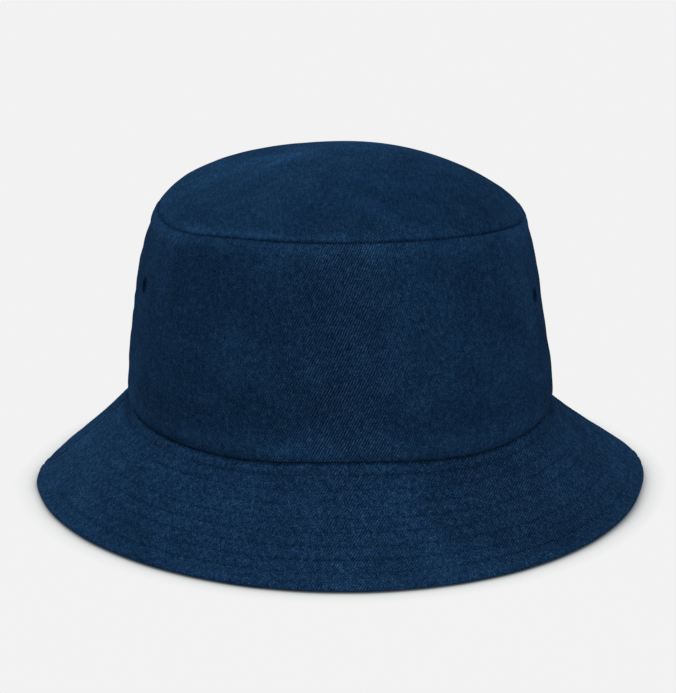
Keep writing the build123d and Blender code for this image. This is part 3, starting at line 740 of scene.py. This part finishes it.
# soft patches of painted light and shade, partly wash fading
wear_and_painted_light = wear_and_painted_light + 1.33 * patches(TIP_FADE_AND_PAINTED_LIGHT, base[..., 0], base[..., 1])
uv = base[..., :2].reshape(-1, 2)
uv = np.concatenate([uv, uv, mid_o[None, :2], mid_i[None, :2]])
z2 = np.zeros(2)
o = make("tip_panel", verts, faces, None, uv=uv, attrs={"wear_and_painted_light": np.concatenate([wear_and_painted_light.ravel(), wear_and_painted_light.ravel(), z2]), "painted_groove_shade": np.concatenate([painted_groove_shade.ravel(), painted_groove_shade.ravel(), z2]),
                                                       "soft": np.concatenate([soft.ravel(), soft.ravel(), z2 + 0.6])},
         mats=[M_TIP, M_BACK], face_mat=(kind == 1).astype(int))
put(o, "crown_tip")

# ------------------------------------------------------------------ brim
slant = math.atan2(36.0, 38.0)
# flat pattern of the cone: radius from its apex and angle round it
rho0 = 94.6 / math.cos(math.radians(43.0))
brim_arc, brim_arc_inv = along_ring(brim, 0.5)
ROW_AT = [(FIRST + i * PITCH) / WIDTH for i in range(ROWS)]
STITCH = 2.9
ROW_ARC = []
for i, at in enumerate(ROW_AT):
    f, g = along_ring(brim, at)
    total = f(math.pi * 1.5) - f(-math.pi / 2)
    ROW_ARC.append((f, g, total, int(round(total / STITCH)), 0.37 * i))


def sunk(th):
    """From 0 to 1: how far the quilting has sunk out of sight, which it does towards the sides."""
    deg = np.degrees(wrap(th + math.pi / 2))
    return np.clip(gauss(deg - 88, 27) + gauss(deg + 92, 24), 0, 1)


def tight(th, i):
    """From 0 to 1: how tightly row i is sewn, so that here and there its thread is out of sight."""
    return np.clip(0.62 + 0.62 * vnoise(th / TAU, 0.5 + 0 * th, 26, 1, 300 + i), 0, 1)


def brim_relief(th, s, under=False):
    """Millimetres out of the plain brim: quilting channels, needle holes, puckers, the turned edge and the side seams."""
    d = s * WIDTH
    h = 0 * th
    show = 1 - (0.0 if under else 0.65) * sunk(th)
    for i, at in enumerate(ROW_AT):
        f, g, total, count, ph = ROW_ARC[i]
        x = d - at * WIDTH
        near = np.abs(x) < 6
        hole = 0.5 + 0.5 * np.cos((f(wrap(th)) / total * count + ph) * TAU)
        h = h - show * (0.08 * gauss(x, 0.8) + 0.13 * hole ** 3 * gauss(x, 0.6))
        # cloth drawn together along the row ripples on both sides of it
        rip = vnoise(th / TAU, 0.5 + 0 * th, 150 + 7 * i, 1, 100 + i + (50 if under else 0))
        h = h + 0.09 * rip * gauss(np.abs(x) - 1.9, 1.7)
    h = h + 0.12 * gauss(d - 1.5, 1.5)
    h = h + 0.30 * fract_noise(th, s, 13, 2, 121, 2) * smooth(s, 0.1, 0.6)
    h = h + 0.10 * fract_noise(th, s, 120, 9, 131, 2)
    # turned edge: the allowances inside make a low ridge
    e = (1 - s) * WIDTH
    h = h + 0.30 * smooth(e, 0.0, 1.4) * (1 - smooth(e, 4.6, 7.0))
    for c in (SEAM_R, SEAM_L):
        q = wrap(th - c) * (102.0 + 36.0 * s)
        h = h - 0.55 * gauss(q, 0.7) + 0.28 * smooth(np.abs(q), 0.8, 2.0) * (1 - smooth(np.abs(q), 6.5, 8.5))
    return h


def brim_marks(th, s):
    d = s * WIDTH
    side = gauss(wrap(th), 0.30) + gauss(wrap(th - math.pi), 0.30)
    # painted shade in the seam over the brim and painted shadow under the crown's overhang at the sides; the whole brim
    # is painted a little lighter, as if more lit
    painted_groove_shade, wear_and_painted_light = 0.36 * gauss(d, 0.6) + 0.28 * side * (gauss(d - 0.4, 1.1) + 1.3 * gauss(d - 2.6, 1.4)) + 0.24 * side ** 3 * gauss(d - 4.4, 1.4), 0.10 + 0 * th
    show = 1 - sunk(th)
    for i, at in enumerate(ROW_AT):
        x = d - at * WIDTH
        # painted shade in the quilting channels, a little lighter beside each row
        painted_groove_shade = painted_groove_shade + (0.085 + 0.06 * gauss(th + 0.95, 0.5)) * show * tight(th, i) * gauss(x, 0.6)
        wear_and_painted_light = wear_and_painted_light + 0.02 * gauss(np.abs(x) - 2.2, 1.1)
    e = (1 - s) * WIDTH
    # a lighter turned edge; painted light lifting the brim outwards from the seam, and a painted highlight along the
    # seam that offsets the crown's shade
    wear_and_painted_light = wear_and_painted_light + 0.20 * gauss(e, 1.6) + 0.10 * smooth(s, 0.03, 0.3) + 0.45 * gauss(d - 0.7, 2.1)
    for c in (SEAM_R, SEAM_L):
        q = np.abs(wrap(th - c)) * (102.0 + 36.0 * s)
        # painted shade in each side seam, lighter lips beside it
        painted_groove_shade = painted_groove_shade + 0.85 * gauss(q, 0.55)
        wear_and_painted_light = wear_and_painted_light + 0.15 * gauss(q - 2.0, 1.3)
    # soft patches of painted light and shade, partly wash fading
    wear_and_painted_light = wear_and_painted_light + 1.33 * ring_patches(BRIM_FADE_AND_PAINTED_LIGHT, th, d, 115.0, 1.0)
    return np.clip(wear_and_painted_light, -1, 1), np.clip(painted_groove_shade, 0, 1)


def on_brim(th, s, d, relief=None):
    th, s = np.broadcast_arrays(np.asarray(th, float), np.asarray(s, float))
    n = normals(brim, th, s, -1.0)
    h = d if relief is None else d + relief
    return brim(th, s) + n * np.broadcast_to(h, th.shape)[..., None], n


def brim_uv(th, s):
    mid = 140.0
    phi = brim_arc(th) / mid
    rho = mid + (s - 0.5) * WIDTH
    return np.stack([rho * np.sin(phi), -rho * np.cos(phi)], -1)


nu, nr = ((600, 128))
EDGE_R = THICK / 2 + 0.15
for name, a, b in (("front", SEAM_L - TAU, SEAM_R), ("back", SEAM_R, SEAM_L)):
    for ply in ("upper", "under"):
        gap = 0.01 / 130.0
        th = a + gap + (b - a - 2 * gap) * np.linspace(0, 1, nu)
        # from inside the seam out to where the edge starts to turn, then round to the middle of the edge
        s_in = -0.022 if ply == "upper" else 0.010
        s_out = 1 - EDGE_R / WIDTH
        flat = np.linspace(s_in, s_out, nr)
        turn = np.radians(np.linspace(0, 90 if ply == "upper" else 98, 15)[1:])
        TH, S = np.meshgrid(th, np.concatenate([flat, s_out + np.sin(turn) * EDGE_R / WIDTH]), indexing="ij")
        r = brim_relief(TH, S, ply == "under")
        k = np.concatenate([np.ones(nr), np.cos(turn)])[None, :]
        mid = -THICK / 2
        if ply == "upper":
            o_d, i_d = mid + (THICK / 2 + r) * k, mid + (THICK / 2 + r) * k - DENIM * (0.35 + 0.65 * k)
            i_d = np.maximum(i_d, mid + 0.02) * (k > 0.5) + (mid + 0.02) * (k <= 0.5)
        else:
            o_d, i_d = mid - (THICK / 2 + r) * k, mid - (THICK / 2 + r) * k + DENIM * (0.35 + 0.65 * k)
            i_d = np.minimum(i_d, mid - 0.02) * (k > 0.5) + (mid - 0.02) * (k <= 0.5)
        S_in = np.concatenate([flat, s_out + np.sin(turn) * (EDGE_R - 0.75) / WIDTH])[None, :] + 0 * TH
        out, n = on_brim(TH, S, o_d)
        inn, _ = on_brim(TH, S_in, i_d)
        if ply == "under":
            verts, faces, kind = sheet_mesh(out, inn)
            faces = faces[:, ::-1]
        else:
            verts, faces, kind = sheet_mesh(out, inn)
        wear_and_painted_light, painted_groove_shade = brim_marks(TH, S)
        uv = brim_uv(TH, S + np.concatenate([np.zeros(nr), turn * 0 + (turn - np.sin(turn)) * EDGE_R / WIDTH])[None, :]).reshape(-1, 2)
        if ply == "under":
            uv = uv * np.array([-1.0, 1.0])
        o = make("brim_%s_%s_cloth" % (ply, name), verts, faces, M_BRIM, uv=np.concatenate([uv, uv]),
                 attrs={"wear_and_painted_light": np.concatenate([wear_and_painted_light.ravel()] * 2), "painted_groove_shade": np.concatenate([painted_groove_shade.ravel()] * 2),
                        "soft": np.concatenate([soft_at(BRIM_SOFT, TH).ravel()] * 2)})
        put(o, "brim_%s_%s" % (ply, name))
    # the stiffener between them
    th = np.linspace(a + 0.0002, b - 0.0002, 160)
    TH, S = np.meshgrid(th, np.linspace(0.012, 0.955, 24), indexing="ij")
    wav = 0.04 * fract_noise(TH, S, 60, 6, 141, 1)
    out, _ = on_brim(TH, S, -DENIM - 0.22 + wav)
    inn, _ = on_brim(TH, S, -DENIM - 0.22 - 0.30 + wav)
    verts, faces, kind = sheet_mesh(out, inn)
    uv = brim_uv(TH, S).reshape(-1, 2)
    o = make("brim_stiffener_" + name, verts, faces, M_INTER, uv=np.concatenate([uv, uv]))
    put(o, "brim_interlining_" + name)

# ------------------------------------------------------------------ stitches


def stitches(centres, tangents, ups, length, width, high, segs=6, rings=7):
    """One bead of thread for each stitch, its ends diving into the cloth. Everything in millimetres."""
    n = len(centres)
    side = np.cross(ups, tangents)
    u = np.linspace(-1, 1, rings)
    prof = np.sqrt(np.clip(1 - np.abs(u) ** 2.6, 0.02, 1))
    lift = high * (0.30 - 0.95 * np.abs(u) ** 2.2)
    ang = np.linspace(0, TAU, segs, endpoint=False)
    P = (centres[:, None, None, :] + tangents[:, None, None, :] * (u * length / 2)[None, :, None, None]
         + ups[:, None, None, :] * (lift[None, :, None, None] + (np.sin(ang) * high / 2)[None, None, :, None] * prof[None, :, None, None])
         + side[:, None, None, :] * (np.cos(ang) * width / 2)[None, None, :, None] * prof[None, :, None, None])
    verts = P.reshape(-1, 3)
    idx = np.arange(rings * segs).reshape(rings, segs)
    nxt = np.roll(idx, -1, 1)
    q = np.stack([idx[:-1], nxt[:-1], nxt[1:], idx[1:]], -1).reshape(-1, 4)
    caps = []
    for r_, rev in ((0, True), (rings - 1, False)):
        e = idx[r_]
        c1, c2 = np.array([e[0], e[1], e[2], e[3]]), np.array([e[0], e[3], e[4], e[5]])
        caps += [c1[::-1] if rev else c1, c2[::-1] if rev else c2]
    q = np.vstack([q, np.array(caps)])
    faces = (q[None] + (np.arange(n) * rings * segs)[:, None, None]).reshape(-1, 4)
    uu = np.broadcast_to((u * length / 2)[None, :, None], (n, rings, segs)) + (np.arange(n) * 3.17)[:, None, None]
    vv = np.broadcast_to((ang / TAU * width * 3)[None, None, :], (n, rings, segs))
    return verts, faces, np.stack([uu, vv], -1).reshape(-1, 2)


def brim_row(i, under):
    f, g, total, count, ph = ROW_ARC[i]
    rng = np.random.default_rng(200 + i + (40 if under else 0))
    # holes sit where the row's relief has them, stitches run between holes
    j = np.arange(count)
    arc = (j - ph + 0.5) * total / count
    th = g(arc % total)
    s = ROW_AT[i] + rng.normal(0, 0.07, count) / WIDTH
    e = 0.004
    rel = brim_relief(th, s, under)
    if under:
        p, n = on_brim(th, s, -THICK - rel)
        n = -n
    else:
        p, n = on_brim(th, s, rel)
    q, _ = on_brim(th + e, s, 0.0)
    q0, _ = on_brim(th - e, s, 0.0)
    t = q - q0
    t /= np.linalg.norm(t, axis=-1, keepdims=True)
    t = t + n * rng.normal(0, 0.02, (count, 1)) + np.cross(n, t) * rng.normal(0, 0.05, (count, 1))
    t /= np.linalg.norm(t, axis=-1, keepdims=True)
    n = n - t * (n * t).sum(-1, keepdims=True)
    n /= np.linalg.norm(n, axis=-1, keepdims=True)
    deep = 0.03 - (0.05 if under else 0.09) * (1 - tight(th, i)) - (0.0 if under else 0.10) * sunk(th)
    return stitches(p + n * deep[:, None], t, n, total / count * 0.72, 0.38, 0.26)


for i in range(ROWS):
    v1, f1, u1 = brim_row(i, False)
    v2, f2, u2 = brim_row(i, True)
    o = make("quilting_row_%d" % (i + 1), np.vstack([v1, v2]), np.vstack([f1, f2 + len(v1)]), M_THREAD, uv=np.vstack([u1, u2]))
    put(o, "brim_stitch_row_%d" % (i + 1))

# ------------------------------------------------------------------ eyelets
for node, e, at in EYELETS:
    c, n = on_wall(np.array(e), np.array(at), 0.0)
    e1 = on_wall(np.array(e + 0.003), np.array(at), 0.0, relief=False)[0] - on_wall(np.array(e - 0.003), np.array(at), 0.0, relief=False)[0]
    e1 /= np.linalg.norm(e1)
    e2 = np.cross(n, e1)
    A, B = ((264, 22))
    al, be = np.meshgrid(np.linspace(0, TAU, A, endpoint=False), np.linspace(0, TAU, B, endpoint=False), indexing="ij")
    rng = np.random.default_rng(int(abs(e) * 100))
    wob = 1 + 0.05 * np.interp(al, np.linspace(0, TAU, 45), np.concatenate([w := rng.normal(0, 1, 44), w[:1]]))
    tr = np.abs(np.sin(al * 22))
    rr, hh = (EYE_R - EYE_HOLE) / 2 * wob, DENIM / 2 + 0.26
    cosb, sinb = np.cos(be), np.sin(be)
    rad = (EYE_HOLE + EYE_R) / 2 + (rr + 0.05 * tr) * np.sign(cosb) * np.abs(cosb) ** 0.8
    hgt = -DENIM / 2 + (hh + 0.12 * tr) * np.sign(sinb) * np.abs(sinb) ** 0.75
    X, Y = rad * np.cos(al), rad * np.sin(al)
    # follow the round of the band
    bend = -(X ** 2) / 2 / 90.0
    P = c + X[..., None] * e1 + Y[..., None] * e2 + (hgt + bend)[..., None] * n
    idx = np.arange(A * B).reshape(A, B)
    q = np.stack([idx, np.roll(idx, -1, 0), np.roll(np.roll(idx, -1, 0), -1, 1), np.roll(idx, -1, 1)], -1).reshape(-1, 4)
    uv = np.stack([al * 10, be * 1.2], -1).reshape(-1, 2)
    o = make(node + "_embroidery", P.reshape(-1, 3), q, M_EYELET, uv=uv)
    put(o, node)

# ------------------------------------------------------------------ inside: tapes, sweatband, labels


def strip(name, node, mat, ths, ts, d_out, thick, waves=0.0, seed=1, pouch=True, closed_gap=None, fold=0.0):
    TH, T = np.meshgrid(ths, ts, indexing="ij")
    w = waves * fract_noise(TH, T, 60, 4, seed, 2)
    de = np.minimum(T - ts[0], ts[-1] - T) * 85.0
    ds = np.minimum(TH - ths[0], ths[-1] - TH) * 95.0
    k = edge_profile(de + 0.02, thick / 2) * edge_profile(ds + 0.02, thick / 2)
    bulge = fold * (gauss(de - 1.2, 0.8))
    n = normals(lambda p, q: wall(p, q, pouch), TH, T, 1.0)
    base = wall(TH, T, pouch) + n * (d_out - thick / 2 + w)[..., None]
    out = base + n * (thick / 2 * k)[..., None]
    inn = base - n * (thick / 2 * k + bulge)[..., None]
    verts, faces, kind = sheet_mesh(out, inn)
    uv = np.stack([low_arc(TH), T * 85.0], -1).reshape(-1, 2)
    # painted shade in a line 2.2 mm in from the top and bottom edges
    painted_groove_shade = np.clip(0.5 * gauss(de - 2.2, 0.6), 0, 1).ravel()
    o = make(name, verts, faces, mat, uv=np.concatenate([uv, uv]), attrs={"painted_groove_shade": np.concatenate([painted_groove_shade, painted_groove_shade]), "wear_and_painted_light": np.zeros(2 * len(painted_groove_shade))})
    return put(o, node)


ALL = np.linspace(math.pi / 2 + 0.0016, math.pi * 2.5 - 0.0016, 520)
D0 = -DENIM - 2 * PLY
D1 = D0 - TAPE - 0.15
strip("tip_tape", "tip_seam_tape", M_TAPE, ALL, np.linspace(0.865, 0.972, 26), D1 + 0.05, TAPE, 0.10, 151, fold=0.22)
for side, c in (("right", SEAM_R), ("left", SEAM_L)):
    strip("side_tape_" + side, "side_seam_tape_" + side, M_TAPE, np.linspace(c - 0.0594, c + 0.0594, 30), np.linspace(0.035, 0.94, 90), D0 - 0.1, TAPE, 0.04, 161)
strip("sweatband_ribbon", "sweatband", M_BAND, ALL, np.linspace(-0.030, 0.380, 52), D1, BAND, 0.16, 171, pouch=False, fold=0.18)
D2 = D1 - BAND
f, g = along_ring(lambda a, b: wall(a, b, False), 0.02)
total = f(math.pi * 1.5) - f(-math.pi / 2)
count = int(total / 3.0)


def band_row(t_at, seed):
    rng = np.random.default_rng(seed)
    th = g(np.arange(count) * total / count)
    t0 = t_at + rng.normal(0, 0.0008, count)
    n = normals(lambda a, b: wall(a, b, False), th, t0, 1.0)
    w = 0.16 * fract_noise(th, t0, 60, 4, 171, 2)
    p = wall(th, t0, False) + n * (D2 + w - 0.14)[:, None]
    t = wall(th + 0.004, t0, False) - wall(th - 0.004, t0, False)
    t /= np.linalg.norm(t, axis=-1, keepdims=True)
    return stitches(p, t, -n, total / count * 0.82, 0.55, 0.36)


v1, f1, u1 = band_row(0.008, 181)
o = make("band_seam_stitches", v1, f1, M_THREAD, uv=u1)
put(o, "sweatband_stitching")
v1, f1, u1 = band_row(0.352, 191)
o = make("band_hem_stitches", v1, f1, M_THREAD, uv=u1)
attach(o, "hat")

# blank woven label, sewn flat to the sweatband
mid, half = math.radians(73.0), math.radians(math.degrees(34.0 / 2 / 74.0))
TH, T = np.meshgrid(np.linspace(mid - half, mid + half, 70), np.linspace(0.20 - 8 / BAND_H, 0.20 + 8 / BAND_H, 40), indexing="ij")
n = normals(lambda a, b: wall(a, b, False), TH, T, 1.0)
X, Y = wrap(TH - mid) * 74.0, (T - 0.20) * BAND_H
k = edge_profile(np.minimum(17.0 - np.abs(X), 8.0 - np.abs(Y)) + 0.02, 0.35)
# a raised border and a plain diamond, woven in
border = gauss(np.minimum(14.8 - np.abs(X), 6.0 - np.abs(Y)), 0.35) + 0.8 * gauss(np.abs(X) / 5.0 + np.abs(Y) / 3.2 - 1, 0.12)
base = wall(TH, T, False) + n * (D2 - 0.22 + 0.05 * fract_noise(TH, T, 80, 8, 201, 1))[..., None]
out, inn = base + n * (0.12 * k)[..., None], base - n * (0.18 * k + 0.09 * border)[..., None]
verts, faces, kind = sheet_mesh(out, inn)
uv = np.stack([X, Y], -1).reshape(-1, 2)
o = make("woven_label_blank", verts, faces, M_WOVEN, uv=np.concatenate([uv, uv]), attrs={"painted_groove_shade": np.concatenate([np.clip(-border, 0, 1).ravel()] * 2), "wear_and_painted_light": np.zeros(2 * X.size)})
put(o, "woven_label")

# care label: a folded satin flap that hangs from the sweatband's top and swings
joint = frame["joints"][0]
piv = np.array(joint["pos_m"]) * 1000.0
axis = np.array(joint["axis"], float)
axis /= np.linalg.norm(axis)
inward = -np.cross(axis, (0, 0, 1.0))
cw, cl = 22.0, 34.0
A, B = np.meshgrid(np.linspace(-cw / 2, cw / 2, 36), np.linspace(0, cl, 60), indexing="ij")
curl = 0.9 * (B / cl) ** 2 + 0.35 * np.sin(A / cw * 3.0 + 0.6) * (B / cl)
P = piv + A[..., None] * axis + B[..., None] * np.array([0, 0, -1.0]) + curl[..., None] * inward
k = edge_profile(np.minimum(cw / 2 - np.abs(A), np.minimum(B, cl - B)) + 0.02, 0.16)
out, inn = P + inward * (0.16 * k)[..., None], P - inward * (0.16 * k)[..., None]
verts, faces, kind = sheet_mesh(out, inn)
uv = np.stack([A, B], -1).reshape(-1, 2)
o = make("care_label_flap_satin", verts, faces, M_CARE, uv=np.concatenate([uv, uv]), attrs={"painted_groove_shade": np.zeros(2 * A.size), "wear_and_painted_light": np.zeros(2 * A.size)})
put(o, "care_label", "care_label_flap")

# ------------------------------------------------------------------ floor, light, camera


def stage_material(name, level):
    """A pale sweep that glows evenly and darkens only where something stands on it, in a painted contact shadow."""
    k = Nodes(name)
    # painted contact shadow: the glow is darkened by ambient occlusion within 10 mm
    ao = k.n("ShaderNodeAmbientOcclusion", samples=16)
    ao.inputs["Distance"].default_value = 0.010
    f = k.math("POWER", ao.outputs["AO"], 1.5)
    tex = k.n("ShaderNodeTexCoord")
    v = k.noise(tex.outputs["Object"], 0.6, 2.0, 0.5)
    f = k.math("MULTIPLY", f, k.math("MULTIPLY_ADD", k.math("SUBTRACT", v, 0.5), 0.004, level))
    e = k.n("ShaderNodeEmission")
    # the painted shadow is tinted a little cool
    painted_shadow_tint = k.n("ShaderNodeCombineColor")
    for i, p in enumerate((0.16, 0.06, 0.0)):
        k.put(painted_shadow_tint.inputs[i], k.math("MULTIPLY", f, k.math("MULTIPLY_ADD", k.math("SUBTRACT", 1.0, ao.outputs["AO"]), -p, 1.0)))
    k.put(e.inputs[0], painted_shadow_tint.outputs[0])
    e.inputs[1].default_value = 1.0
    k.put(k.out.inputs[0], e.outputs[0])
    return k.m


me = bpy.data.meshes.new("floor")
me.from_pydata([(-6, -6, 0), (6, -6, 0), (6, 9, 0), (-6, 9, 0)], [], [(0, 1, 2, 3)])
floor = bpy.data.objects.new("floor", me)
bpy.context.scene.collection.objects.link(floor)
me.materials.append(stage_material("pale_floor", 0.888))

world = bpy.data.worlds.new("studio")
bpy.context.scene.world = world
world.use_nodes = True
bg = world.node_tree.nodes["Background"]
bg.inputs[0].default_value = (1, 1, 1, 1)
bg.inputs[1].default_value = 0.33


def softbox(name, el, az, power, size=1.0, dist=2.0):
    """A round softbox aimed at the hat; az 0 is the front, positive to the hat's +X side."""
    l = bpy.data.lights.new(name, "AREA")
    l.shape, l.size, l.energy = "DISK", size, power
    o = bpy.data.objects.new(name, l)
    bpy.context.scene.collection.objects.link(o)
    e, a = math.radians(el), math.radians(az)
    v = Vector((math.sin(a) * math.cos(e), -math.cos(a) * math.cos(e), math.sin(e)))
    o.location = v * dist
    o.rotation_euler = v.to_track_quat("Z", "Y").to_euler()
    return o


softbox("top", 88, 0, 12.0)
softbox("front_high", 52, 0, 10.0)
softbox("left_back_high", 60, -115, 8.5)
softbox("left", 38, -75, 4.5)
softbox("front_right", 26, 30, 9.5)
softbox("rim_left", 15, -150, 24.0)
softbox("rim_right", 15, 150, 12.0)

EL, AZ, F, DIST = math.radians(15.924), math.radians(-2.898), 2637.95, 1.1
target = np.array([-0.0008, 0.0008, 0.0606])
back = np.array([math.sin(AZ) * math.cos(EL), -math.cos(AZ) * math.cos(EL), math.sin(EL)])
cam_data = bpy.data.cameras.new("camera")
cam = bpy.data.objects.new("camera", cam_data)
bpy.context.scene.collection.objects.link(cam)
cam.location = Vector(target + back * DIST)
cam.rotation_euler = Vector(-back).to_track_quat("-Z", "Y").to_euler()
cam_data.sensor_width = 36.0
cam_data.lens = F * 36.0 / 693.0
cam_data.shift_x = -(338.43 - 337.5) / 693.0
cam_data.shift_y = (334.94 - 346.0) / 693.0
cam_data.clip_start, cam_data.clip_end = 0.05, 60.0
bpy.context.scene.camera = cam
bpy.context.scene.view_settings.view_transform = "Standard"
bpy.context.scene.view_settings.look = "None"
